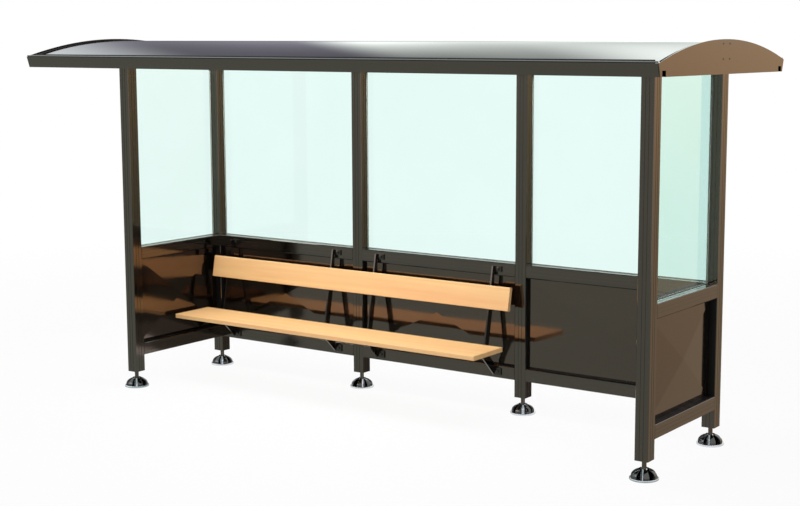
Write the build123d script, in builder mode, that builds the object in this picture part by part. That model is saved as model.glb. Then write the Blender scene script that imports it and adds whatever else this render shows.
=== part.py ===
"""Three-bay bus shelter: profile frame on levelling feet, glazed walls, arched roof and a timber bench.

Millimetres, +Z up. The origin is on the ground under the middle of the roof, the open front faces -Y.
"""
import math
import os

from build123d import *

# Frame layout
bay_pitch = 1270.0
bay_count = 3
frame_depth = 840.0
post_bottom = 105.0
frame_top = 2220.0
low_rail_bottom = 213.0
mid_rail_top = 946.0
overrun = 4.0

# Extruded profile of posts and rails
profile_size = 80.0
profile_wall = 5.0
profile_corner = 3.0
groove_width = 3.0
groove_depth = 2.0
groove_offset = 11.0

# Glass and pressed panels
glass_thickness = 8.0
glass_offset = 28.0
panel_thickness = 2.0
back_panel_recess = 28.0
end_panel_recess = 42.0
panel_rise = 18.0
panel_margin = 8.0

# Levelling feet
foot_radius = 80.0
flange_height = 10.0
flange_bevel = 4.0
foot_sides = 24
dome_radius = 74.0
dome_rim_height = 6.0
dome_shoulder_radius = 60.0
dome_shoulder_height = 44.0
dome_crown_radius = 34.0
dome_top = 62.0
lobe_count = 6
slot_width = 17.0
hub_radius = 24.0
stud_radius = 13.0
stud_clearance = 0.3
stud_grip = 55.0
plug_height = 20.0

# Roof
end_overhang = 278.0
front_overhang = 523.0
back_overhang = 103.0
arch_rise = 112.0
edge_height = 66.0
edge_tuck = 20.0
edge_bulge = 3.0
edge_lip = 25.0
edge_beam_gap = 20.0
edge_wall = 3.0
edge_face_wall = 10.0
gable_thickness = 6.0
gable_upstand = 12.0
sheet_thickness = 5.0
sheet_clearance = 0.3
rib_thickness = 10.0
rib_drop = 55.0
rib_cover = 1.0
notch_width = 40.0
notch_height = 30.0
notch_inset = 17.0

# Bench
seat_length = 2455.0
seat_end_gap = 15.5
seat_depth = 325.0
seat_height = 450.0
seat_wall_gap = 153.0
board_thickness = 28.0
board_edge = 5.0
rest_bottom = 660.0
rest_width = 147.0

# Bench brackets
bracket_end_inset = 135.5
bracket_pair_width = 360.0
bracket_thickness = 10.0
bracket_top = 925.0
bar_top_reach = 24.0
bar_foot_reach = 116.0
bar_depth = 45.0
arm_reach = 440.0
arm_root_depth = 26.0
arm_tip_depth = 14.0
strut_foot = 233.0
strut_foot_height = 75.0
strut_reach = 175.0
flange_width = 60.0
flange_thickness = 8.0
top_flange_height = 36.0
low_flange_height = 46.0
bracket_round = 12.0

# Places worked out from the sizes above
half_profile = profile_size / 2
half_length = bay_pitch * bay_count / 2
roof_length = 2 * half_length + profile_size + 2 * end_overhang
roof_depth = frame_depth + profile_size + front_overhang + back_overhang
half_roof = roof_depth / 2
front_step = front_overhang - half_roof
back_step = half_roof - back_overhang
front_line = front_step + half_profile
back_line = back_step - half_profile
wall_face = back_line - half_profile
bay_clear = bay_pitch - profile_size
end_clear = frame_depth - profile_size
top_rail_bottom = frame_top - profile_size
low_rail_top = low_rail_bottom + profile_size
mid_rail_bottom = mid_rail_top - profile_size
bay_lines = [bay_pitch * index - half_length for index in range(bay_count + 1)]
bay_middles = [line + bay_pitch / 2 for line in bay_lines[:-1]]

dome_sides = 2 * lobe_count
dome_sections = [
    (flange_height, dome_radius),
    (flange_height + dome_rim_height, dome_radius),
    (dome_shoulder_height, dome_shoulder_radius),
    (dome_top, dome_crown_radius),
]

half_edge_bottom = half_roof - edge_tuck
widest_step = max(back_step, -front_step)
edge_inner = widest_step + edge_beam_gap
arch_radius = (half_roof**2 + arch_rise**2) / (2 * arch_rise)
sheet_top_radius = arch_radius - gable_upstand
sheet_under_radius = sheet_top_radius - sheet_thickness
rib_radius = sheet_under_radius - sheet_clearance
arch_centre = frame_top + rib_cover - math.sqrt(rib_radius**2 - widest_step**2)
roof_crown = arch_centre + arch_radius
roof_edge_top = roof_crown - arch_rise
roof_edge_bottom = roof_edge_top - edge_height
cover_length = roof_length - 2 * gable_thickness
sheet_half_width = half_roof - edge_lip

bench_middle = bay_lines[0] + half_profile + seat_end_gap + seat_length / 2
bracket_end_reach = seat_length / 2 - bracket_end_inset
bracket_pair_reach = bracket_pair_width / 2
bracket_reaches = [-bracket_end_reach, -bracket_pair_reach, bracket_pair_reach, bracket_end_reach]
seat_under = seat_height - board_thickness
seat_back = wall_face - seat_wall_gap
os.makedirs("parts", exist_ok=True)


def finish(builder, name):
    """Label a finished piece and write it as its own file."""
    builder.part.label = name
    export_step(builder.part, f"parts/{name}.step")


def arch_height(radius, across):
    """Height of an arch of the roof at a distance across from its middle."""
    return arch_centre + math.sqrt(radius**2 - across**2)


# Hollow profile with two fine grooves in each face
with BuildSketch() as profile:
    Rectangle(profile_size, profile_size)
    chamfer(profile.vertices(), profile_corner)
    with PolarLocations(half_profile, 4):
        for side in (-groove_offset, groove_offset):
            with Locations((0, side)):
                Rectangle(2 * groove_depth, groove_width, mode=Mode.SUBTRACT)
    inner_size = profile_size - 2 * profile_wall
    Rectangle(inner_size, inner_size, mode=Mode.SUBTRACT)


def make_post(name, x, y, top):
    """Upright profile with a drilled plug in its lower end for the foot's stud."""
    with BuildPart() as post:
        with BuildSketch(Plane.XY.offset(post_bottom)):
            with Locations((x, y)):
                add(profile.sketch)
        extrude(amount=top - post_bottom)
        with BuildSketch(Plane.XY.offset(post_bottom)):
            with Locations((x, y)):
                Rectangle(inner_size, inner_size)
                Circle(stud_radius + stud_clearance, mode=Mode.SUBTRACT)
        extrude(amount=plug_height)
    finish(post, name)


def make_rail(name, start, direction, length):
    """Level profile from a start point along a direction."""
    with BuildPart() as rail:
        with BuildSketch(Plane(origin=start, x_dir=(0, 0, 1), z_dir=direction)):
            add(profile.sketch)
        extrude(amount=length)
    finish(rail, name)


def make_foot(name, x, y):
    """Levelling foot: bevelled flange, slotted dome and the stud that screws into the post."""
    with BuildPart() as foot:
        with BuildSketch():
            with Locations((x, y)):
                RegularPolygon(foot_radius, foot_sides)
        extrude(amount=flange_height)
        chamfer(foot.edges().group_by(Axis.Z)[-1], flange_bevel)
        for (bottom, radius), (top, next_radius) in zip(dome_sections, dome_sections[1:]):
            with BuildSketch(Plane.XY.offset(bottom)):
                with Locations((x, y)):
                    RegularPolygon(radius, dome_sides)
            side_step = (radius - next_radius) * math.cos(math.pi / dome_sides)
            side_lean = math.degrees(math.atan2(side_step, top - bottom))
            extrude(amount=top - bottom, taper=side_lean)
        with BuildSketch(Plane.XY.offset(flange_height)):
            slot_length = foot_radius - hub_radius
            with Locations((x, y)):
                with PolarLocations(hub_radius + slot_length / 2, lobe_count):
                    Rectangle(slot_length, slot_width)
        extrude(amount=dome_top, mode=Mode.SUBTRACT)
        with BuildSketch(Plane.XY.offset(flange_height)):
            with Locations((x, y)):
                RegularPolygon(stud_radius, foot_sides)
        extrude(amount=post_bottom + stud_grip - flange_height)
    finish(foot, name)


def make_pane(name, middle, normal, across):
    """Flat pane of glass, filling the opening above the mid rail."""
    with BuildPart() as pane:
        centre = (middle[0], middle[1], (mid_rail_top + top_rail_bottom) / 2)
        with BuildSketch(Plane(origin=centre, x_dir=(0, 0, 1), z_dir=normal)):
            Rectangle(top_rail_bottom - mid_rail_top, across)
        extrude(amount=glass_thickness / 2, both=True)
    finish(pane, name)


def make_panel(name, middle, normal, across):
    """Sheet panel between two rails, pressed into a shallow point that rises along the normal."""
    height = mid_rail_bottom - low_rail_top
    centre = Vector(middle[0], middle[1], (low_rail_top + mid_rail_bottom) / 2)
    face = Plane(origin=centre, x_dir=(0, 0, 1), z_dir=normal)
    with BuildPart() as panel:
        with BuildSketch(face):
            Rectangle(height, across)
        extrude(amount=-panel_thickness)
        with BuildSketch(face) as front_base:
            Rectangle(height - 2 * panel_margin, across - 2 * panel_margin)
        loft([front_base.sketch, Vertex(*(centre + face.z_dir * panel_rise))])
        with BuildSketch(face.offset(-panel_thickness)) as back_base:
            Rectangle(height - 2 * panel_margin, across - 2 * panel_margin)
        hollow_point = centre + face.z_dir * (panel_rise - panel_thickness)
        loft([back_base.sketch, Vertex(*hollow_point)], mode=Mode.SUBTRACT)
    finish(panel, name)


# Posts and feet
post_places = {
    "front_left": (bay_lines[0], front_line, frame_top),
    "front_right": (bay_lines[-1], front_line, frame_top),
    "back_left": (bay_lines[0], back_line, frame_top),
    "back_right": (bay_lines[-1], back_line, frame_top),
}
for index, line in enumerate(bay_lines[1:-1], start=1):
    post_places[f"back_inner_{index}"] = (line, back_line, top_rail_bottom)
for place, (x, y, top) in post_places.items():
    make_post(f"{place}_post", x, y, top)
    make_foot(f"{place}_foot", x, y)

# Rails, panels and glass of the back wall
for index, middle in enumerate(bay_middles, start=1):
    start_x = middle - bay_clear / 2
    for level, bottom in (("low", low_rail_bottom), ("mid", mid_rail_bottom)):
        start = (start_x, back_line, bottom + half_profile)
        make_rail(f"back_{level}_rail_{index}", start, (1, 0, 0), bay_clear)
    panel_middle = (middle, wall_face + back_panel_recess)
    make_panel(f"back_panel_{index}", panel_middle, (0, -1, 0), bay_clear)
    glass_middle = (middle, back_line + glass_offset)
    make_pane(f"back_glass_{index}", glass_middle, (0, 1, 0), bay_clear)

# Rails, panels and glass of the two end walls
end_middle = (front_line + back_line) / 2
for side, line in (("left", bay_lines[0]), ("right", bay_lines[-1])):
    for level, bottom in (("low", low_rail_bottom), ("mid", mid_rail_bottom), ("top", top_rail_bottom)):
        start = (line, front_line + half_profile, bottom + half_profile)
        make_rail(f"{side}_{level}_rail", start, (0, 1, 0), end_clear)
    panel_middle = (line + half_profile - end_panel_recess, end_middle)
    make_panel(f"{side}_panel", panel_middle, (1, 0, 0), end_clear)
    glass_middle = (line - glass_offset, end_middle)
    make_pane(f"{side}_glass", glass_middle, (1, 0, 0), end_clear)

# Long beams under the roof
beam_start = bay_lines[0] + half_profile
beam_length = 2 * half_length - profile_size
for side, line in (("front", front_line), ("back", back_line)):
    start = (beam_start, line, top_rail_bottom + half_profile)
    make_rail(f"{side}_beam", start, (1, 0, 0), beam_length)


def make_rib(name, x):
    """Plate rib that sits on the beams, with tapered arms out to the roof's two edges."""
    arm_bottom = frame_top - rib_drop
    arm_top = arch_height(rib_radius, edge_inner)
    with BuildPart() as rib:
        with BuildSketch(Plane.YZ.offset(x)):
            with BuildLine():
                Polyline(
                    (-edge_inner, arm_top),
                    (-edge_inner, arm_bottom),
                    (front_step, arm_bottom),
                    (front_step, frame_top),
                    (back_step, frame_top),
                    (back_step, arm_bottom),
                    (edge_inner, arm_bottom),
                    (edge_inner, arm_top),
                )
                crown = (0, arch_height(rib_radius, 0))
                ThreePointArc((edge_inner, arm_top), crown, (-edge_inner, arm_top))
            make_face()
        extrude(amount=rib_thickness / 2, both=True)
    finish(rib, name)


for index, line in enumerate(bay_lines, start=1):
    make_rib(f"roof_rib_{index}", line)

# Arched roof sheet
with BuildPart() as sheet:
    with BuildSketch(Plane.YZ):
        with BuildLine():
            corners = {}
            for layer, radius in (("top", sheet_top_radius), ("under", sheet_under_radius)):
                height = arch_height(radius, sheet_half_width)
                corners[layer] = [(-sheet_half_width, height), (sheet_half_width, height)]
                ThreePointArc(corners[layer][0], (0, arch_height(radius, 0)), corners[layer][1])
            for left_or_right in (0, 1):
                Line(corners["top"][left_or_right], corners["under"][left_or_right])
        make_face()
    extrude(amount=cover_length / 2, both=True)
finish(sheet, "roof_sheet")


def make_edge(name, side):
    """Hollow edge profile with a curved face, a raised lip and a sloped ledge for the sheet."""
    ledge_outer = arch_height(sheet_under_radius, sheet_half_width)
    ledge_inner = arch_height(sheet_under_radius, edge_inner)
    face_middle = half_roof - edge_tuck / 2 + edge_bulge
    with BuildPart() as edge:
        with BuildSketch(Plane.YZ):
            with BuildLine():
                ThreePointArc(
                    (side * half_roof, roof_edge_top),
                    (side * face_middle, (roof_edge_top + roof_edge_bottom) / 2),
                    (side * half_edge_bottom, roof_edge_bottom),
                )
                Polyline(
                    (side * half_edge_bottom, roof_edge_bottom),
                    (side * edge_inner, roof_edge_bottom),
                    (side * edge_inner, ledge_inner),
                    (side * sheet_half_width, ledge_outer),
                    (side * sheet_half_width, roof_edge_top),
                    (side * half_roof, roof_edge_top),
                )
            make_face()
        extrude(amount=cover_length / 2, both=True)
        with BuildSketch(Plane.YZ):
            with BuildLine():
                Polyline(
                    (side * (half_edge_bottom - edge_wall), roof_edge_bottom + edge_wall),
                    (side * (edge_inner + edge_wall), roof_edge_bottom + edge_wall),
                    (side * (edge_inner + edge_wall), ledge_outer - edge_wall),
                    (side * (half_roof - edge_face_wall), ledge_outer - edge_wall),
                    close=True,
                )
            make_face()
        extrude(amount=cover_length / 2 + overrun, both=True, mode=Mode.SUBTRACT)
    finish(edge, name)


make_edge("roof_front_edge", -1)
make_edge("roof_back_edge", 1)


def make_gable(name, side):
    """Flat end plate of the roof, with a drain notch near each lower corner."""
    outer = side * roof_length / 2
    with BuildPart() as gable:
        with BuildSketch(Plane.YZ.offset(outer)):
            with BuildLine():
                ThreePointArc((half_roof, roof_edge_top), (0, roof_crown), (-half_roof, roof_edge_top))
                Polyline(
                    (-half_roof, roof_edge_top),
                    (-half_edge_bottom, roof_edge_bottom),
                    (half_edge_bottom, roof_edge_bottom),
                    (half_roof, roof_edge_top),
                )
            make_face()
            notch_middle = half_edge_bottom - notch_inset - notch_width / 2
            with Locations((-notch_middle, roof_edge_bottom), (notch_middle, roof_edge_bottom)):
                Rectangle(notch_width, 2 * notch_height, mode=Mode.SUBTRACT)
        extrude(amount=-side * gable_thickness)
    finish(gable, name)


make_gable("left_gable", -1)
make_gable("right_gable", 1)

# Bench seat
with BuildPart() as seat:
    with BuildSketch(Plane.XY.offset(seat_under)):
        with Locations((bench_middle, seat_back - seat_depth / 2)):
            Rectangle(seat_length, seat_depth)
    extrude(amount=board_thickness)
    fillet(seat.edges().filter_by(Axis.X) + seat.edges().filter_by(Axis.Z), board_edge)
finish(seat, "bench_seat")

# Leaning back rest, on the front edge of the bracket bars
bar_run = bar_foot_reach - bar_top_reach
bar_rise = bracket_top - seat_under


def bar_front(height):
    """Place of the bar's front edge at a height."""
    return wall_face - bar_top_reach - (bracket_top - height) * bar_run / bar_rise


with BuildPart() as back_rest:
    rest_foot = (bench_middle - seat_length / 2, bar_front(rest_bottom), rest_bottom)
    with BuildSketch(Plane(origin=rest_foot, x_dir=(0, bar_rise, -bar_run), z_dir=(1, 0, 0))):
        RectangleRounded(board_thickness, rest_width, board_edge, align=(Align.MAX, Align.MIN))
    extrude(amount=seat_length)
finish(back_rest, "bench_back_rest")


def make_bracket(name, left):
    """Cut plate bracket: leaning bar, seat arm and strut, with a turned flange at each end."""
    flange_face = wall_face - flange_thickness
    bar_slope = bar_run / bar_rise
    bar_back_top = bracket_top - (bar_depth - bar_top_reach + flange_thickness) / bar_slope
    strut_top = strut_foot + strut_foot_height
    strut_slope = (seat_under - arm_root_depth - strut_foot) / (strut_reach - flange_thickness)
    drop = bar_back_top - strut_top
    crotch_run = drop / (strut_slope + 1 / bar_slope)
    crotch = (flange_face - crotch_run, strut_top + crotch_run * strut_slope)
    arm_root = (wall_face - strut_reach, seat_under - arm_root_depth)
    with BuildPart() as bracket:
        with BuildSketch(Plane.YZ.offset(left)):
            with BuildLine():
                Polyline(
                    (flange_face, bracket_top),
                    (wall_face - bar_top_reach, bracket_top),
                    (wall_face - bar_foot_reach, seat_under),
                    (wall_face - arm_reach, seat_under),
                    (wall_face - arm_reach, seat_under - arm_tip_depth),
                    arm_root,
                    (flange_face, strut_foot),
                    (flange_face, strut_top),
                    crotch,
                    (flange_face, bar_back_top),
                    close=True,
                )
            outline = make_face()
            for corner in (crotch, arm_root):
                fillet(outline.vertices().sort_by_distance((*corner, 0))[:1], bracket_round)
        extrude(amount=bracket_thickness)
        top_flange_bottom = bracket_top - top_flange_height
        for bottom, height in ((top_flange_bottom, top_flange_height), (strut_foot, low_flange_height)):
            with BuildSketch(Plane.XY.offset(bottom)):
                with Locations((left, flange_face)):
                    Rectangle(flange_width, flange_thickness, align=(Align.MIN, Align.MIN))
            extrude(amount=height)
    finish(bracket, name)


for index, reach in enumerate(bracket_reaches, start=1):
    make_bracket(f"bench_bracket_{index}", bench_middle + reach - flange_width / 2)
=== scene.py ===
"""Looks of the three-bay bus shelter: its finishes, its fine pieces and the studio around them.

Metres, +Z up. The open front faces -Y, the back wall stands at +Y.
"""
import logging
import math
from dataclasses import dataclass, field
from enum import Enum

import bmesh
import bpy
from mathutils import Matrix, Vector


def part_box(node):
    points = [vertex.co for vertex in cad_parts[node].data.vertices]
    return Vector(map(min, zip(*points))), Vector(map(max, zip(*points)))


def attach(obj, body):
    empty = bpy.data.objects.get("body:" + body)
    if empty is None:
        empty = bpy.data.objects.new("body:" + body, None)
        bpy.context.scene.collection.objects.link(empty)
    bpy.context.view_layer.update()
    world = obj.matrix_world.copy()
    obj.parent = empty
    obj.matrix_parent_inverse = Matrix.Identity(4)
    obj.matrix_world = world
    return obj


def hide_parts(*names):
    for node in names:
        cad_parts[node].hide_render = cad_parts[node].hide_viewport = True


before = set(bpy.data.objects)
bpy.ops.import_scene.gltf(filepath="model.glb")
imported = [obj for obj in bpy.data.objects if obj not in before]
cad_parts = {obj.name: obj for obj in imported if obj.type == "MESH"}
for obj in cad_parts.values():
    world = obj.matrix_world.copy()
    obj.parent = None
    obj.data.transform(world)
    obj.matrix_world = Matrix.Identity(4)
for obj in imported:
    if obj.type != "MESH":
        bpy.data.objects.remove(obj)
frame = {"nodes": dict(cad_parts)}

LOG = logging.getLogger("bus_shelter")
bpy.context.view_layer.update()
BODY = "root"
IMAGE_WIDTH = 800
IMAGE_HEIGHT = 506
MERGE_DISTANCE = 1e-6
RIM_TOLERANCE = 1e-4
ORIGIN = (0.0, 0.0, 0.0)
UPRIGHT = (0.0, 0.0, 1.0)
GLOW_LAYER = "glow"
WHITE = (1.0, 1.0, 1.0)

Colour = tuple[float, float, float]
Scale = tuple[float, float, float]
Point = tuple[float, float]
Profile = list[Point]
Material = bpy.types.Material
Mesh = bpy.types.Mesh
Node = bpy.types.Node
Shape = bmesh.types.BMesh
Socket = bpy.types.NodeSocket
Thing = bpy.types.Object
Tree = bpy.types.NodeTree


class Run(Enum):
    """Way that a profile or board runs, which its lines follow."""

    ALONG_X = 0
    ALONG_Y = 1
    ALONG_Z = 2

    def stretched(self, along: float, across: float) -> Scale:
        """Scale a pattern so that it is long along the run and fine across it.

        Args:
            along: Scale along the run.
            across: Scale the other two ways.

        Returns:
            The scale by axis.
        """
        scale = [across, across, across]
        scale[self.value] = along
        return tuple(scale)


class Slot(Enum):
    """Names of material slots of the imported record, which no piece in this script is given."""

    FRAME = "frame"
    ROOF = "roof"
    BRACKET = "bracket"
    FOOT = "foot"


@dataclass
class Wiring:
    """Adds nodes to one shader tree and joins their sockets."""

    tree: Tree

    def add(self, kind: str, values: dict | None = None, **settings: object) -> Node:
        """Add a node.

        Args:
            kind: Blender's name of the node type.
            values: Constants or outputs by input name or number.
            settings: Attributes of the node.

        Returns:
            The new node.
        """
        node = self.tree.nodes.new(kind)
        for key, value in settings.items():
            setattr(node, key, value)
        for key, value in (values or {}).items():
            self.fill(node.inputs[key], value)
        return node

    def fill(self, socket: Socket, value: object) -> None:
        """Feed an input.

        Args:
            socket: The input.
            value: Output that feeds it, or a constant.
        """
        if isinstance(value, Socket):
            self.tree.links.new(value, socket)
        else:
            socket.default_value = value

    def mix(self, factor: Socket, first: object, second: object) -> Socket:
        """Mix two colours.

        Args:
            factor: Output that drives the mix.
            first: Colour or output at factor 0.
            second: Colour or output at factor 1.

        Returns:
            The mixed colour's output.
        """
        node = self.add("ShaderNodeMix", {0: factor}, data_type="RGBA")
        sockets = [socket for socket in node.inputs if socket.type == "RGBA"]
        for socket, value in zip(sockets, (first, second)):
            self.fill(socket, value if isinstance(value, Socket) else (*value, 1.0))
        return next(socket for socket in node.outputs if socket.type == "RGBA")

    def reckon(self, operation: str, first: object, second: object, clamped: bool = False) -> Socket:
        """Work out a value from two others, which may be kept between 0 and 1."""
        node = self.add("ShaderNodeMath", {0: first, 1: second}, operation=operation, use_clamp=clamped)
        return node.outputs[0]

    def sum(self, first: object, second: object) -> Socket:
        """Sum of two values, kept between 0 and 1."""
        return self.reckon("ADD", first, second, clamped=True)

    def noise(self, place: Socket, values: dict) -> Socket:
        """Noise over a place, as a value about a half."""
        return self.add("ShaderNodeTexNoise", {"Vector": place, **values}).outputs["Fac"]

    def spread(
        self, value: Socket, low: float, high: float, to_min: object = 0.0, to_max: object = 1.0
    ) -> Socket:
        """Stretch part of a value's range over 0 to 1, or over other limits.

        Args:
            value: The value.
            low: Where its part starts.
            high: Where its part ends.
            to_min: What it becomes at the start.
            to_max: What it becomes at the end.

        Returns:
            The stretched value.
        """
        limits = {"From Min": low, "From Max": high, "To Min": to_min, "To Max": to_max}
        return self.add("ShaderNodeMapRange", {"Value": value, **limits}).outputs["Result"]


class Effects:
    """Shader node groups that the finishes share, each built once."""

    noise_low: float = 0.3
    noise_high: float = 0.7
    grain_low: float = 0.32
    grain_high: float = 0.68
    pebble_softness: float = 0.9
    dust_scale: float = 22.0
    dust_gain: float = 1.6

    def __init__(self) -> None:
        """Build every group."""
        self.drawn_lines = self._drawn_lines()
        self.mottle = self._mottle()
        self.peel = self._peel()
        self.dust = self._dust()
        self.grain = self._grain()

    @staticmethod
    def _group(name: str, inputs: tuple[str, ...], outputs: tuple[str, ...]) -> tuple:
        """Start a group that reads coordinates and puts out values.

        Args:
            name: Name of the group.
            inputs: Names of its values, besides the coordinates.
            outputs: Names of the values that it puts out.

        Returns:
            The group, its wiring, what it reads and what it puts out.
        """
        tree = bpy.data.node_groups.new(name, "ShaderNodeTree")
        tree.interface.new_socket("Vector", in_out="INPUT", socket_type="NodeSocketVector")
        for way, keys in (("INPUT", inputs), ("OUTPUT", outputs)):
            for key in keys:
                tree.interface.new_socket(key, in_out=way, socket_type="NodeSocketFloat")
        wiring = Wiring(tree)
        return tree, wiring, wiring.add("NodeGroupInput").outputs, wiring.add("NodeGroupOutput").inputs

    def _drawn_lines(self) -> Tree:
        """Fine lines that drawing through a die leaves along a profile.

        Returns:
            The group.
        """
        tree, wiring, source, target = self._group("drawn_lines", (), ("Shade", "Height"))
        coarse = wiring.noise(source["Vector"], {"Scale": 1.0, "Detail": 2.0})
        fine = wiring.noise(source["Vector"], {"Scale": 5.0, "Detail": 3.0})
        wiring.fill(target["Shade"], wiring.spread(coarse, self.noise_low, self.noise_high))
        wiring.fill(target["Height"], fine)
        return tree

    def _mottle(self) -> Tree:
        """Slow uneven change of a value over a surface, between a low and a high.

        Returns:
            The group.
        """
        tree, wiring, source, target = self._group("mottle", ("Scale", "Low", "High"), ("Value",))
        noise = wiring.noise(source["Vector"], {"Scale": source["Scale"], "Detail": 5.0, "Roughness": 0.6})
        value = wiring.spread(
            noise, self.noise_low, self.noise_high, to_min=source["Low"], to_max=source["High"]
        )
        wiring.fill(target["Value"], value)
        return tree

    def _peel(self) -> Tree:
        """Soft pebbled height of a sprayed or moulded surface.

        Returns:
            The group.
        """
        tree, wiring, source, target = self._group("peel", ("Scale",), ("Height",))
        values = {"Vector": source["Vector"], "Scale": source["Scale"], "Smoothness": self.pebble_softness}
        cells = wiring.add("ShaderNodeTexVoronoi", values, feature="SMOOTH_F1")
        wiring.fill(target["Height"], cells.outputs["Distance"])
        return tree

    def _dust(self) -> Tree:
        """Mask of dust that thins out from the ground up to a level.

        Returns:
            The group.
        """
        tree, wiring, source, target = self._group("ground_dust", ("Level", "Amount"), ("Mask",))
        height = wiring.add("ShaderNodeSeparateXYZ", {0: source["Vector"]}).outputs["Z"]
        fade = wiring.add(
            "ShaderNodeMapRange",
            {"Value": height, "From Max": source["Level"], "To Min": source["Amount"], "To Max": 0.0},
            interpolation_type="SMOOTHSTEP",
        )
        noise = wiring.noise(source["Vector"], {"Scale": self.dust_scale, "Detail": 6.0})
        patchy = wiring.reckon("MULTIPLY", fade.outputs["Result"], noise)
        wiring.fill(target["Mask"], wiring.reckon("MULTIPLY", patchy, self.dust_gain, clamped=True))
        return tree

    def _grain(self) -> Tree:
        """Growth bands, fibres and pores of a planed board.

        Returns:
            The group.
        """
        tree, wiring, source, target = self._group("board_grain", (), ("Band", "Streak", "Height"))
        layers = {
            "Band": (Run.ALONG_X.stretched(0.9, 26.0), 4.0, 0.5),
            "Streak": (Run.ALONG_X.stretched(1.7, 75.0), 3.0, 0.2),
            "Height": (Run.ALONG_X.stretched(9.0, 520.0), 4.0, 0.0),
        }
        for output, (scale, detail, bend) in layers.items():
            place = wiring.add("ShaderNodeMapping", {"Vector": source["Vector"], "Scale": scale})
            noise = wiring.noise(
                place.outputs["Vector"], {"Scale": 1.0, "Detail": detail, "Distortion": bend}
            )
            wiring.fill(target[output], wiring.spread(noise, self.grain_low, self.grain_high))
        return tree


@dataclass
class Surface:
    """A material under way: its wiring, its shader and its place in the object's own frame."""

    name: str
    material: Material = field(init=False)
    wiring: Wiring = field(init=False)
    shader: Node = field(init=False)
    place: Socket = field(init=False)

    def __post_init__(self) -> None:
        """Make the material with a lone Principled shader."""
        self.material = bpy.data.materials.new(self.name)
        self.material.use_nodes = True
        self.wiring = Wiring(self.material.node_tree)
        nodes = self.material.node_tree.nodes
        self.shader = next(node for node in nodes if node.type == "BSDF_PRINCIPLED")
        self.place = self.wiring.add("ShaderNodeTexCoord").outputs["Object"]

    def group(self, tree: Tree, values: dict, place: Socket | None = None) -> bpy.types.NodeOutputs:
        """Put a shared effect into the material.

        Args:
            tree: Node group of the effect.
            values: Constant values by input name.
            place: Coordinates that it reads, or the object's own.

        Returns:
            The effect's outputs.
        """
        inputs = {"Vector": place or self.place, **values}
        return self.wiring.add("ShaderNodeGroup", inputs, node_tree=tree).outputs

    def mottled(self, effects: Effects, scale: float, low: float, high: float) -> Socket:
        """Value that changes unevenly over the surface, between a low and a high."""
        return self.group(effects.mottle, {"Scale": scale, "Low": low, "High": high})["Value"]

    def scaled(self, scale: Scale) -> Socket:
        """Object coordinates stretched by a scale."""
        return self.wiring.add("ShaderNodeMapping", {"Vector": self.place, "Scale": scale}).outputs["Vector"]

    def bump(self, height: Socket, strength: float, distance: float) -> None:
        """Drive the shader's normal by a height of a strength and a distance."""
        values = {"Height": height, "Strength": strength, "Distance": distance}
        self.fill("Normal", self.wiring.add("ShaderNodeBump", values).outputs["Normal"])

    def fill(self, socket: str, value: object) -> None:
        """Feed a shader input from an output, or set it to a constant."""
        self.wiring.fill(self.shader.inputs[socket], value)


@dataclass(frozen=True)
class LacquerFinish:
    """Dark gloss lacquer over drawn or flat metal."""

    name: str
    dark: Colour = (0.0022, 0.0019, 0.0015)
    pale: Colour = (0.0052, 0.0045, 0.0036)
    smooth: float = 0.07
    rough: float = 0.13
    gloss_scale: float = 6.0
    gloss_index: float = 2.1
    gloss_tint: Colour = (1.0, 0.78, 0.64)
    dust_colour: Colour = (0.20, 0.17, 0.13)
    dust_amount: float = 0.02
    dust_level: float = 0.45
    line_along: float = 0.7
    line_across: float = 190.0
    line_depth: float = 0.05
    line_height: float = 0.0004

    def material(self, effects: Effects, run: Run) -> Material:
        """Make the lacquer for a piece that runs one way.

        Args:
            effects: Shared shader groups.
            run: Way that the drawn lines follow.

        Returns:
            The material.
        """
        surface = Surface(f"{self.name}_{run.name.lower()}")
        stretch = run.stretched(self.line_along, self.line_across)
        lines = surface.group(effects.drawn_lines, {}, surface.scaled(stretch))
        gloss = surface.mottled(effects, self.gloss_scale, self.smooth, self.rough)
        dust = surface.group(effects.dust, {"Level": self.dust_level, "Amount": self.dust_amount})["Mask"]
        coat = surface.wiring.mix(lines["Shade"], self.dark, self.pale)
        surface.fill("Base Color", surface.wiring.mix(dust, coat, self.dust_colour))
        surface.fill("Roughness", surface.wiring.sum(gloss, dust))
        surface.fill("IOR", self.gloss_index)
        surface.fill("Specular Tint", (*self.gloss_tint, 1.0))
        surface.bump(lines["Height"], self.line_depth, self.line_height)
        return surface.material


@dataclass(frozen=True)
class CoatedFinish:
    """Sprayed or moulded dark surface with a soft pebbled skin."""

    name: str
    dark: Colour
    pale: Colour
    smooth: float
    rough: float
    gloss_index: float
    peel_scale: float
    peel_depth: float
    gloss_tint: Colour = WHITE
    shade_scale: float = 9.0
    gloss_scale: float = 14.0
    peel_height: float = 0.0006

    def material(self, effects: Effects) -> Material:
        """Make the coat.

        Args:
            effects: Shared shader groups.

        Returns:
            The material.
        """
        surface = Surface(self.name)
        shade = surface.mottled(effects, self.shade_scale, 0.0, 1.0)
        peel = surface.group(effects.peel, {"Scale": self.peel_scale})
        surface.fill("Base Color", surface.wiring.mix(shade, self.dark, self.pale))
        surface.fill("Roughness", surface.mottled(effects, self.gloss_scale, self.smooth, self.rough))
        surface.fill("IOR", self.gloss_index)
        surface.fill("Specular Tint", (*self.gloss_tint, 1.0))
        surface.bump(peel["Height"], self.peel_depth, self.peel_height)
        return surface.material


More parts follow.
